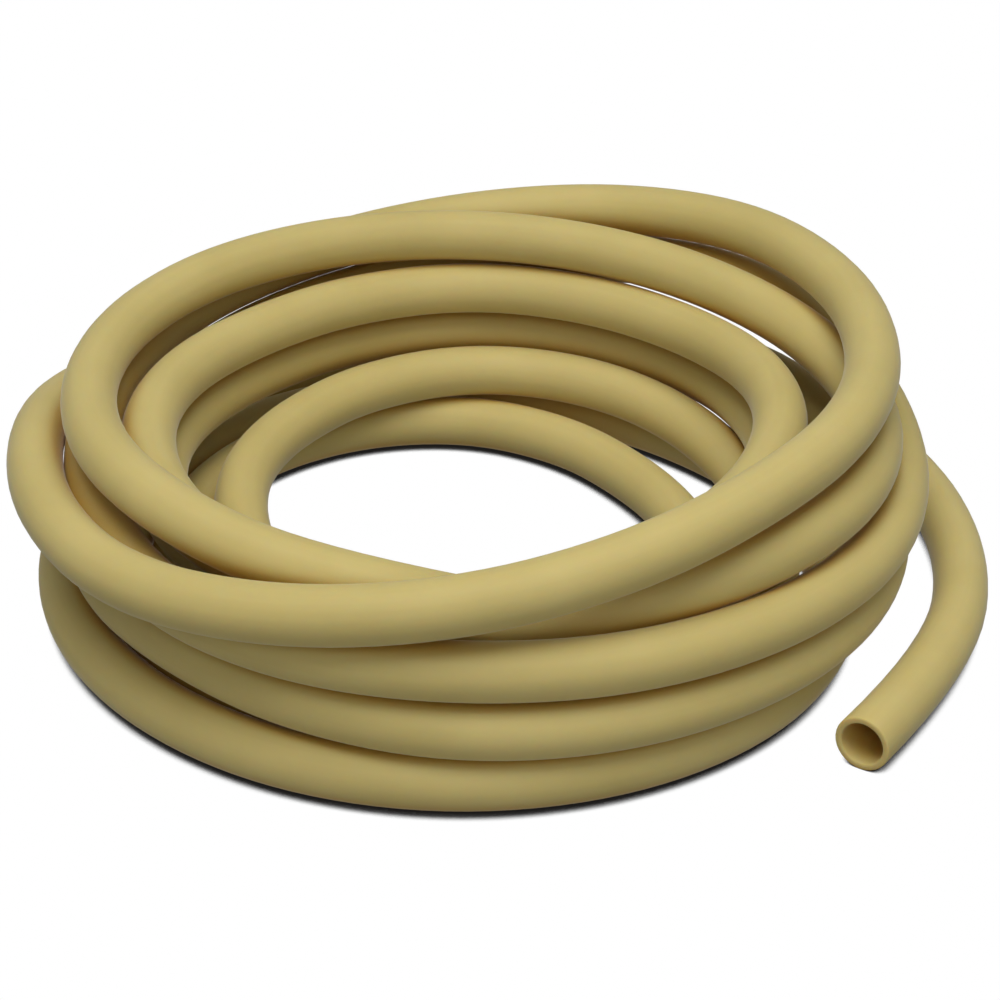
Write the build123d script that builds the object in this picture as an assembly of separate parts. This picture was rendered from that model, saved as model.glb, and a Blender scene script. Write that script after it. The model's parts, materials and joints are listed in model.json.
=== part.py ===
from build123d import *
from math import cos, pi, radians, sin, tan
import os

# Rubber tubing coil: one length of bare, thin-walled laboratory tubing, laid loosely on a
# bench in about ten turns. It is one solid, with a round bore from cut end to cut end.
# Lengths are in mm, Z is up and the front of the coil looks towards -Y.

# The tube's section.
BORE = 10.0
WALL = 1.5
TUBE = BORE + 2 * WALL

# The turns lie a hair apart, so the coil's unit of place is a little more than one tube.
LAY_SHARE = 1.015
LAY = LAY_SHARE * TUBE

# The open end leaves the coil at the front right with a short straight run, and lies on the
# bench. The other end stops short under the top turn at the front.
OPEN_RUN_SHARE = 3.24
LAST_RUN_SHARE = 0.9

# On the bench the centre line is half a lay up, and no point of it lies lower.
BENCH_SHARE = 0.5

# Each turn is given at eight stations, from front right and on by the right, back, left and
# front. A station holds the distance from the middle of the coil and the height above the
# bench of the tube's centre line, both as shares of the lay.
STATIONS_PER_TURN = 8
FIRST_BEARING = -45.0
TURN_SHARES = [
    # From the open end: round the right on the bench, up at the back, over the top in front.
    [(8.85, 0.50), (9.05, 0.50), (9.45, 0.50), (9.60, 0.60),
     (8.60, 1.60), (7.62, 3.10), (7.75, 3.20), (7.25, 3.80)],
    # The top turn's right side and back, down through the left, second layer in front.
    [(6.85, 4.50), (7.20, 4.56), (7.80, 4.72), (7.75, 4.05),
     (7.48, 3.28), (6.62, 2.88), (6.95, 2.56), (6.95, 2.52)],
    # Second layer on the right, up behind the back, third in front.
    [(7.50, 2.46), (7.85, 2.46), (7.85, 3.60), (7.20, 3.05),
     (7.35, 2.22), (6.85, 1.38), (6.62, 1.53), (7.15, 1.51)],
    # Third layer on the right, over the back and flat on the bench from there to the front.
    [(7.45, 1.46), (7.55, 1.42), (7.15, 2.25), (7.70, 0.80),
     (7.90, 0.50), (7.37, 0.50), (7.15, 0.50), (7.20, 0.50)],
    # In from the right on the bench, under the others.
    [(7.12, 0.50), (6.95, 0.50), (6.25, 0.50), (6.70, 0.50),
     (6.85, 0.50), (6.33, 0.50), (6.10, 0.50), (6.10, 0.50)],
    # Along the inside, up at the back and down into the middle on the left.
    [(5.75, 0.80), (5.60, 1.10), (5.70, 1.36), (6.00, 1.54),
     (4.80, 1.50), (4.10, 1.50), (4.10, 1.20), (4.40, 0.70)],
    # Innermost, on the bench.
    [(4.40, 0.50), (4.20, 0.50), (4.25, 0.50), (5.55, 0.50),
     (5.80, 0.50), (5.30, 0.55), (5.15, 0.90), (5.35, 1.40)],
    # Inside, middle layer.
    [(5.60, 1.90), (5.55, 2.15), (5.85, 2.42), (5.65, 2.55),
     (5.50, 2.54), (5.55, 2.25), (5.10, 2.10), (4.45, 2.00)],
    # Inside, upper layer, then out to the front under the top turn.
    [(5.10, 2.80), (5.65, 3.25), (5.55, 3.44), (5.28, 3.51),
     (5.17, 3.52), (5.65, 3.32), (5.75, 3.05), (5.60, 2.42)],
    # The last turn, on top at the back and left, ending under the top turn in front.
    [(7.02, 3.48), (7.28, 3.50), (6.75, 3.84), (6.60, 4.13),
     (6.80, 4.10), (6.60, 3.95), (6.50, 3.95), (6.28, 3.30)],
]


def halfway(before, start, end, after):
    """The value in the middle of a smooth curve through four even stations."""
    return (9 * (start + end) - (before + after)) / 16


# Corner points of the centre line: every station and one between each two. The bends run a
# little inside their corners, so the corners stand out by the half step's secant.
stations = [station for turn in TURN_SHARES for station in turn]
half_step = 360 / STATIONS_PER_TURN / 2
corners = []
for index, (reach, height) in enumerate(stations):
    bearing = FIRST_BEARING + 2 * half_step * index
    spots = [(bearing, reach, height)]
    if index + 1 < len(stations):
        around = [stations[min(max(index + k, 0), len(stations) - 1)] for k in (-1, 0, 1, 2)]
        reaches, heights = zip(*around)
        spots.append((bearing + half_step, halfway(*reaches), max(halfway(*heights), BENCH_SHARE)))
    for turn, out, up in spots:
        ray = out * LAY / cos(radians(half_step / 2))
        corners.append(Vector(ray * cos(radians(turn)), ray * sin(radians(turn)), up * LAY))

# Both ends are straight: the open one is set back along its first run, the hidden one is cut.
first_run = corners[0] - corners[1]
corners[0] = corners[1] + first_run.normalized() * OPEN_RUN_SHARE * LAY
corners[-1] = corners[-2] + (corners[-1] - corners[-2]) * LAST_RUN_SHARE

# Straight runs joined by tangent arcs, each as wide as its shorter run allows.
ARC_RUN_SHARE = 0.45
radii = []
for before, corner, after in zip(corners, corners[1:], corners[2:]):
    into, out = corner - before, after - corner
    half_turn = radians(into.get_angle(out)) / 2
    radii.append(ARC_RUN_SHARE * min(into.length, out.length) / tan(half_turn))
centre_line = FilletPolyline(*corners, radius=radii)

section = Plane(centre_line @ 0, z_dir=centre_line % 0) * (Circle(TUBE / 2) - Circle(BORE / 2))
tubing = sweep(section, path=centre_line)

# The coil stands on z = 0 with its bounding box centred on the origin.
box = tubing.bounding_box()
shift = Vector(-box.center().X, -box.center().Y, -box.min.Z)
tubing = Pos(shift) * tubing
tubing.label = "rubber_tubing"

open_end, outward = centre_line @ 0 + shift, -(centre_line % 0)
ring = pi * (TUBE ** 2 - BORE ** 2) / 4
print("bend radii in tube diameters", round(min(radii) / TUBE, 2), "to", round(max(radii) / TUBE, 2))
print("length", round(centre_line.length, 1), "volume", round(tubing.volume, 1),
      "section x length", round(ring * centre_line.length, 1))
print("open end", [round(v, 4) for v in open_end], "pointing", [round(v, 5) for v in outward])
print("straight at the open end", round((corners[0] - corners[1]).length
      - ARC_RUN_SHARE * min((corners[0] - corners[1]).length, (corners[2] - corners[1]).length), 2))
print("solids", len(tubing.solids()), "valid", tubing.is_valid)
print("box", tubing.bounding_box())

os.makedirs("parts", exist_ok=True)
export_step(tubing, "parts/rubber_tubing.step")
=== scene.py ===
import json
from functools import partial
from math import cos, pi, radians, sin

import bpy
import bmesh
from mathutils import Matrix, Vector


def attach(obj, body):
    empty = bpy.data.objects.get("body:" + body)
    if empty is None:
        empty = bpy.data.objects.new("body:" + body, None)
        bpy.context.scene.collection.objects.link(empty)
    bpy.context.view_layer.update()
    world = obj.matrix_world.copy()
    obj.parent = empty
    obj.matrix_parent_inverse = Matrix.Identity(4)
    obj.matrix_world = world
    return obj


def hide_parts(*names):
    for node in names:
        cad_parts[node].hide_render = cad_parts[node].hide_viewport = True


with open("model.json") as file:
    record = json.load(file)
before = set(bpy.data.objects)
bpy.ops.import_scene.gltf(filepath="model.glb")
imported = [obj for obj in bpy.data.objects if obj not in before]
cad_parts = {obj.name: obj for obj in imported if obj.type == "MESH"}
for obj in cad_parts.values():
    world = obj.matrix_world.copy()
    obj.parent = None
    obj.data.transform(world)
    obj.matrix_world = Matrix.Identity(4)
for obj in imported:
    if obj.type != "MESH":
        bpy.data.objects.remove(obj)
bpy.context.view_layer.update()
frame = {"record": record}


# Route of the tube.
# Ten loose turns, from the open end at the front right to the cut end under the top turn in front:
# a smooth spline on the CAD route's points, some of them moved to follow the photo.

bore_radius = frame["record"]["mounts"][0]["dims"]["r_mm"] / 1000
wall = 0.0015
tube_radius = bore_radius + wall
lay_share = 1.015
lay = lay_share * 2 * tube_radius

# Eight stations a turn, from front right by the right, back, left and front: distance from the
# middle of the coil and height above the bench of the centre line, in lays.
turns = [
    # From the open end: round the right on the bench, up at the back, over the top in front.
    [(8.85, 0.50), (9.05, 0.50), (9.45, 0.50), (9.60, 0.60),
     (8.60, 1.60), (7.65, 3.08), (7.75, 3.20), (7.23, 3.79)],
    # The top turn's right side and back, down through the left, second layer in front.
    [(6.85, 4.50), (7.20, 4.56), (7.80, 4.72), (7.75, 4.05),
     (7.48, 3.28), (6.65, 3.03), (6.95, 2.57), (7.16, 2.56)],
    # Second layer on the right, up behind the back, third in front.
    [(7.50, 2.46), (7.85, 2.46), (7.85, 3.60), (7.40, 3.10),
     (7.07, 2.35), (6.85, 1.38), (6.62, 1.53), (7.23, 1.50)],
    # Third layer on the right, over the back and flat on the bench from there to the front.
    [(7.45, 1.46), (7.55, 1.42), (7.64, 1.98), (7.84, 0.80),
     (7.90, 0.50), (7.37, 0.50), (7.15, 0.50), (7.20, 0.50)],
    # In from the right on the bench, under the others.
    [(7.12, 0.50), (6.62, 0.50), (6.32, 0.50), (6.70, 0.50),
     (6.85, 0.50), (6.33, 0.50), (6.10, 0.50), (6.10, 0.50)],
    # Along the inside, up at the back and down into the middle on the left.
    [(5.75, 0.70), (5.60, 0.80), (5.62, 1.42), (5.88, 1.50),
     (4.80, 1.50), (4.10, 1.50), (4.10, 1.20), (4.40, 0.70)],
    # Innermost, on the bench.
    [(4.40, 0.50), (4.20, 0.50), (4.40, 0.50), (5.55, 0.50),
     (5.80, 0.50), (5.30, 0.55), (5.15, 0.90), (5.35, 1.40)],
    # Inside, middle layer, set back so that the light reaches it.
    [(5.60, 1.90), (5.55, 2.15), (6.58, 1.92), (6.83, 2.02),
     (6.03, 2.10), (5.55, 2.25), (5.10, 2.10), (4.45, 2.00)],
    # Inside, upper layer, then out to the front under the top turn.
    [(5.10, 2.80), (5.65, 3.25), (6.09, 3.04), (6.37, 3.10),
     (5.74, 3.16), (5.65, 3.32), (5.75, 3.05), (5.60, 2.42)],
    # The last turn, on top at the back and left, ending under the top turn in front.
    [(7.02, 3.40), (7.28, 3.42), (6.75, 3.84), (6.60, 4.13),
     (6.80, 4.14), (6.68, 4.04), (6.50, 3.95), (6.25, 3.26)],
]
first_bearing = -45
step = 45
open_run = 3.24
on_bench = 0.5


def halfway(before, start, end, after):
    """The value in the middle of a smooth curve through four even stations."""
    return (9 * (start + end) - (before + after)) / 16


# The spline runs a little inside its control points, so they stand out by the half step's secant.
stations = [station for turn in turns for station in turn]
controls = []
for index, (reach, height) in enumerate(stations):
    bearing = first_bearing + step * index
    spots = [(bearing, reach, height)]
    if index + 1 < len(stations):
        near = [stations[min(max(index + k, 0), len(stations) - 1)] for k in (-1, 0, 1, 2)]
        reaches, heights = zip(*near)
        spots.append((bearing + step / 2, halfway(*reaches), max(halfway(*heights), on_bench)))
    for angle, out, up in spots:
        ray = out * lay / cos(radians(step / 4))
        controls.append(Vector((ray * cos(radians(angle)), ray * sin(radians(angle)), up * lay)))
controls[0] = controls[1] + (controls[0] - controls[1]).normalized() * open_run * lay

route = bpy.data.curves.new("route", "CURVE")
route.dimensions = "3D"
route.resolution_u = 8
spline = route.splines.new("NURBS")
spline.points.add(len(controls) - 1)
for point, place in zip(spline.points, controls):
    point.co = (*place, 1)
spline.order_u = 3
spline.use_endpoint_u = True
guide = bpy.data.objects.new("route", route)
bpy.context.collection.objects.link(guide)
bpy.context.view_layer.update()
line = bpy.data.meshes.new_from_object(guide.evaluated_get(bpy.context.evaluated_depsgraph_get()))
bpy.data.objects.remove(guide)

# The frame's origin is under the middle of the box round the coil, so the line moves there.
spans = [[limit(vertex.co[k] for vertex in line.vertices) for limit in (min, max)] for k in (0, 1)]
middle = Vector((sum(spans[0]) / 2, sum(spans[1]) / 2, on_bench * lay - tube_radius))
for vertex in line.vertices:
    vertex.co -= middle


# Rubber.
# Natural rubber with a faint bloom: matte, warm and a little uneven, with a soft pale edge.
# Fine draw lines from the extruder run along the tube, and a grain lies over all of it.

rubber = bpy.data.materials.new("natural_rubber")
rubber.use_nodes = True
skin = rubber.node_tree.nodes["Principled BSDF"]
skin.inputs["Roughness"].default_value = 0.6
skin.inputs["Specular IOR Level"].default_value = 0.25
skin.inputs["Sheen Weight"].default_value = 0.25
skin.inputs["Sheen Roughness"].default_value = 0.3
skin.inputs["Subsurface Weight"].default_value = 0.5
skin.inputs["Subsurface Radius"].default_value = (1, 0.5, 0.16)
skin.inputs["Subsurface Scale"].default_value = 0.003


def add_node(tree, kind, settings=(), **wires):
    """Adds a node to a tree, sets its options and joins or sets its inputs by name or number."""
    made = tree.nodes.new(kind)
    for key, value in dict(settings).items():
        setattr(made, key, value)
    for key, value in wires.items():
        socket = made.inputs[int(key[1:])] if key[0] == "_" else made.inputs[key.replace("_", " ")]
        if isinstance(value, bpy.types.NodeSocket):
            tree.links.new(value, socket)
        else:
            socket.default_value = value
    return made


shade = partial(add_node, rubber.node_tree)
wire = rubber.node_tree.links.new
spot = shade("ShaderNodeTexCoord").outputs["Object"]
around_tube = shade("ShaderNodeAttribute", {"attribute_name": "around"}).outputs["Vector"]
along_tube = shade("ShaderNodeAttribute", {"attribute_name": "along"}).outputs["Fac"]
line_stretch = 0.012
slow = shade("ShaderNodeMath", {"operation": "MULTIPLY"}, _0=along_tube, _1=line_stretch).outputs[0]
lengthwise = shade("ShaderNodeCombineXYZ", Z=slow).outputs[0]
drawn = shade("ShaderNodeVectorMath", {"operation": "ADD"}, _0=around_tube, _1=lengthwise).outputs[0]

# Colour: slow clouds of bloom, with the draw lines a shade apart from it.
cloud = shade("ShaderNodeTexNoise", Vector=spot, Scale=28, Detail=4)
draw_lines = shade("ShaderNodeTexNoise", Vector=drawn, Scale=420, Detail=3)
line_weight = 0.35
mixed = shade("ShaderNodeMath", {"operation": "MULTIPLY_ADD"}, _0=draw_lines.outputs["Fac"],
              _1=line_weight, _2=cloud.outputs["Fac"]).outputs[0]
tint = shade("ShaderNodeValToRGB", Fac=mixed)
dull, bloomed = tint.color_ramp.elements
dull.position, dull.color = 0.45, (0.530, 0.430, 0.155, 1)
bloomed.position, bloomed.color = 0.9, (0.600, 0.490, 0.190, 1)

# Painted shade: where strands lie close, ambient occlusion turns the base colour a darker brown,
# standing in for the light passed from strand to strand.
painted_shade_brown = (0.50, 0.30, 0.05, 1)
strand_closeness = shade("ShaderNodeAmbientOcclusion", {"samples": 8}, Distance=0.012)
painted_shade_mask = shade("ShaderNodeMapRange", Value=strand_closeness.outputs["AO"], From_Min=0.2, From_Max=0.6)
tint_with_painted_shade = shade("ShaderNodeMix", {"data_type": "RGBA"}, _0=painted_shade_mask.outputs[0], _6=painted_shade_brown,
               _7=tint.outputs["Color"])
wire(tint_with_painted_shade.outputs[2], skin.inputs["Base Color"])

# Relief: the draw lines, and the skin's grain over them.
grain = shade("ShaderNodeTexNoise", Vector=spot, Scale=900, Detail=2)
lined = shade("ShaderNodeBump", Strength=0.06, Distance=0.0002, Height=draw_lines.outputs["Fac"])
relief = shade("ShaderNodeBump", Strength=0.06, Distance=0.0002, Height=grain.outputs["Fac"],
               Normal=lined.outputs[0])
wire(relief.outputs[0], skin.inputs["Normal"])


# Tube.
# Geometry nodes sweep the outer wall and the bore along the line. The cut ends are drawn from the
# wall's open edges in small steps, over a rounded lip and back to the bore.

sides = 32
lip = 0.0003
weld = 0.00005
lip_steps = [(0.3, 0.7), (0.7, 0.3), (wall / lip - 2, 0), (0.7, -0.3), (0.3, -0.7)]

tree = bpy.data.node_groups.new("tube_on_line", "GeometryNodeTree")
for name, kind in [("Line", "Geometry"), ("Tube radius", "Float"), ("Bore radius", "Float"),
                   ("Lip", "Float"), ("Sides", "Int"), ("Material", "Material")]:
    tree.interface.new_socket(name, in_out="INPUT", socket_type="NodeSocket" + kind)
tree.interface.new_socket("Tube", in_out="OUTPUT", socket_type="NodeSocketGeometry")

node = partial(add_node, tree)
given = node("NodeGroupInput").outputs
along = node("GeometryNodeSplineParameter").outputs
late = node("FunctionNodeCompare", {"operation": "GREATER_THAN"}, _0=along["Factor"], _1=0.5)
sign = node("ShaderNodeMath", {"operation": "MULTIPLY_ADD"}, _0=late.outputs[0], _1=2.0, _2=-1.0)
facing = node("ShaderNodeVectorMath", {"operation": "SCALE"},
              _0=node("GeometryNodeInputTangent").outputs[0], Scale=sign.outputs[0])
here = node("GeometryNodeInputPosition").outputs[0]
curve = node("GeometryNodeMeshToCurve", Mesh=given["Line"]).outputs[0]
for name, kind, value in [("along", "FLOAT", along["Length"]), ("axis", "FLOAT_VECTOR", here),
                          ("facing", "FLOAT_VECTOR", facing.outputs[0])]:
    curve = node("GeometryNodeStoreNamedAttribute", {"data_type": kind}, Geometry=curve,
                 Name=name, Value=value).outputs[0]

walls = []
for radius in ("Tube radius", "Bore radius"):
    ring = node("GeometryNodeCurvePrimitiveCircle", Resolution=given["Sides"], Radius=given[radius])
    marked = node("GeometryNodeStoreNamedAttribute", {"data_type": "FLOAT_VECTOR"},
                  Geometry=ring.outputs[0], Name="around", Value=here)
    swept = node("GeometryNodeCurveToMesh", Curve=curve, Profile_Curve=marked.outputs[0])
    walls.append(swept.outputs[0])
shell, bore = walls
bore = node("GeometryNodeFlipFaces", Mesh=bore).outputs[0]

axis, outward = [node("GeometryNodeInputNamedAttribute", {"data_type": "FLOAT_VECTOR"},
                      Name=name).outputs[0] for name in ("axis", "facing")]
inward = node("ShaderNodeVectorMath", {"operation": "SUBTRACT"}, _0=axis, _1=here).outputs[0]
flat = node("ShaderNodeVectorMath", {"operation": "PROJECT"}, _0=inward, _1=outward).outputs[0]
inward = node("ShaderNodeVectorMath", {"operation": "SUBTRACT"}, _0=inward, _1=flat).outputs[0]
inward = node("ShaderNodeVectorMath", {"operation": "NORMALIZE"}, _0=inward).outputs[0]
edges = node("GeometryNodeInputMeshEdgeNeighbors").outputs[0]
chosen = node("FunctionNodeCompare", {"data_type": "INT", "operation": "EQUAL"},
              _2=edges, _3=1).outputs[0]
for share_in, share_out in lip_steps:
    step_in = node("ShaderNodeVectorMath", {"operation": "SCALE"}, _0=inward, Scale=share_in)
    step_out = node("ShaderNodeVectorMath", {"operation": "SCALE"}, _0=outward, Scale=share_out)
    move = node("ShaderNodeVectorMath", {"operation": "ADD"},
                _0=step_in.outputs[0], _1=step_out.outputs[0])
    pulled = node("GeometryNodeExtrudeMesh", {"mode": "EDGES"}, Mesh=shell, Selection=chosen,
                  Offset=move.outputs[0], Offset_Scale=given["Lip"])
    shell, chosen = pulled.outputs["Mesh"], pulled.outputs["Top"]

whole = node("GeometryNodeJoinGeometry")
tree.links.new(shell, whole.inputs[0])
tree.links.new(bore, whole.inputs[0])
closed = node("GeometryNodeMergeByDistance", Geometry=whole.outputs[0], Distance=weld)
smooth = node("GeometryNodeSetShadeSmooth", Geometry=closed.outputs[0])
real = node("GeometryNodeRealizeInstances", Geometry=smooth.outputs[0])
dressed = node("GeometryNodeSetMaterial", Geometry=real.outputs[0], Material=given["Material"])
tree.links.new(dressed.outputs[0], node("NodeGroupOutput").inputs[0])

tube = bpy.data.objects.new("rubber_tube", line)
bpy.context.collection.objects.link(tube)
sweep = tube.modifiers.new("sweep", "NODES")
sweep.node_group = tree
values = {"Tube radius": tube_radius, "Bore radius": bore_radius, "Lip": lip, "Sides": sides,
          "Material": rubber}
for item in tree.interface.items_tree:
    if item.in_out == "INPUT" and item.name in values:
        sweep[item.identifier] = values[item.name]
bpy.context.view_layer.update()
solid = bpy.data.meshes.new_from_object(tube.evaluated_get(bpy.context.evaluated_depsgraph_get()))
tube.modifiers.remove(sweep)
tube.data = solid
mesh = bmesh.new()
mesh.from_mesh(solid)
bmesh.ops.recalc_face_normals(mesh, faces=mesh.faces)
mesh.to_mesh(solid)
mesh.free()
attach(tube, "root")
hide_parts("rubber_tubing")


# Bench, light and camera.
# A white sheet that glows as in a catalogue picture, with a painted shadow, near black, where the tube
# comes close to it. A large soft lamp hangs overhead and a weaker one in front, and the camera looks
# down from the front.

side, near_edge, far_edge = 3, -3, 6
bench_mesh = bpy.data.meshes.new("bench")
bench_mesh.from_pydata([(-side, near_edge, 0), (side, near_edge, 0), (side, far_edge, 0),
                        (-side, far_edge, 0)], [], [(0, 1, 2, 3)])
bench = bpy.data.objects.new("bench", bench_mesh)
bpy.context.collection.objects.link(bench)
sheet = bpy.data.materials.new("glowing_sheet_painted_shadow")
sheet.use_nodes = True
sheet.node_tree.nodes.remove(sheet.node_tree.nodes["Principled BSDF"])
paint = partial(add_node, sheet.node_tree)
# Painted shadow: ambient occlusion turns the sheet's glow near black where the tube comes close.
painted_shadow_occlusion = paint("ShaderNodeAmbientOcclusion", {"samples": 16}, Distance=0.0045)
painted_shadow_ramp = paint("ShaderNodeValToRGB", Fac=painted_shadow_occlusion.outputs["AO"])
shadow, white = painted_shadow_ramp.color_ramp.elements
shadow.position, shadow.color = 0.3, (0.012, 0.011, 0.010, 1)
white.position, white.color = 0.5, (1, 1, 1, 1)
glow = paint("ShaderNodeEmission", Color=painted_shadow_ramp.outputs["Color"])
sheet.node_tree.links.new(glow.outputs[0], sheet.node_tree.nodes["Material Output"].inputs["Surface"])
bench_mesh.materials.append(sheet)

# The sheet's own light doesn't fall on the tube.
bench.visible_diffuse = False
bench.visible_glossy = False

sky = bpy.data.worlds.new("studio")
sky.use_nodes = True
backdrop = sky.node_tree.nodes["Background"].inputs
backdrop["Color"].default_value = (1, 1, 1, 1)
backdrop["Strength"].default_value = 0.26
bpy.context.scene.world = sky

for name, power, place in [("top_light", 11.6, (0, -0.35, 1.25)), ("front_fill", 3.6, (0, -1.3, 0.75))]:
    lamp = bpy.data.lights.new(name, "AREA")
    lamp.shape = "DISK"
    lamp.size = 1.0
    lamp.energy = power
    hung = bpy.data.objects.new(name, lamp)
    hung.location = place
    hung.rotation_euler = (-Vector(place)).to_track_quat("-Z", "Y").to_euler()
    bpy.context.collection.objects.link(hung)

lens = bpy.data.cameras.new("camera")
lens.sensor_fit = "HORIZONTAL"
lens.angle = radians(21.76)
lens.clip_start = 0.01
lens.dof.use_dof = False
elevation = radians(28.7)
distance = 46.5 * lay
aim = Vector((0.61, -0.85, 2.16)) * lay - middle
eye = bpy.data.objects.new("camera", lens)
eye.location = aim + Vector((0, -cos(elevation), sin(elevation))) * distance
eye.rotation_euler = (pi / 2 - elevation, 0, 0)
bpy.context.collection.objects.link(eye)
bpy.context.scene.camera = eye
bpy.context.scene.view_settings.view_transform = "Standard"
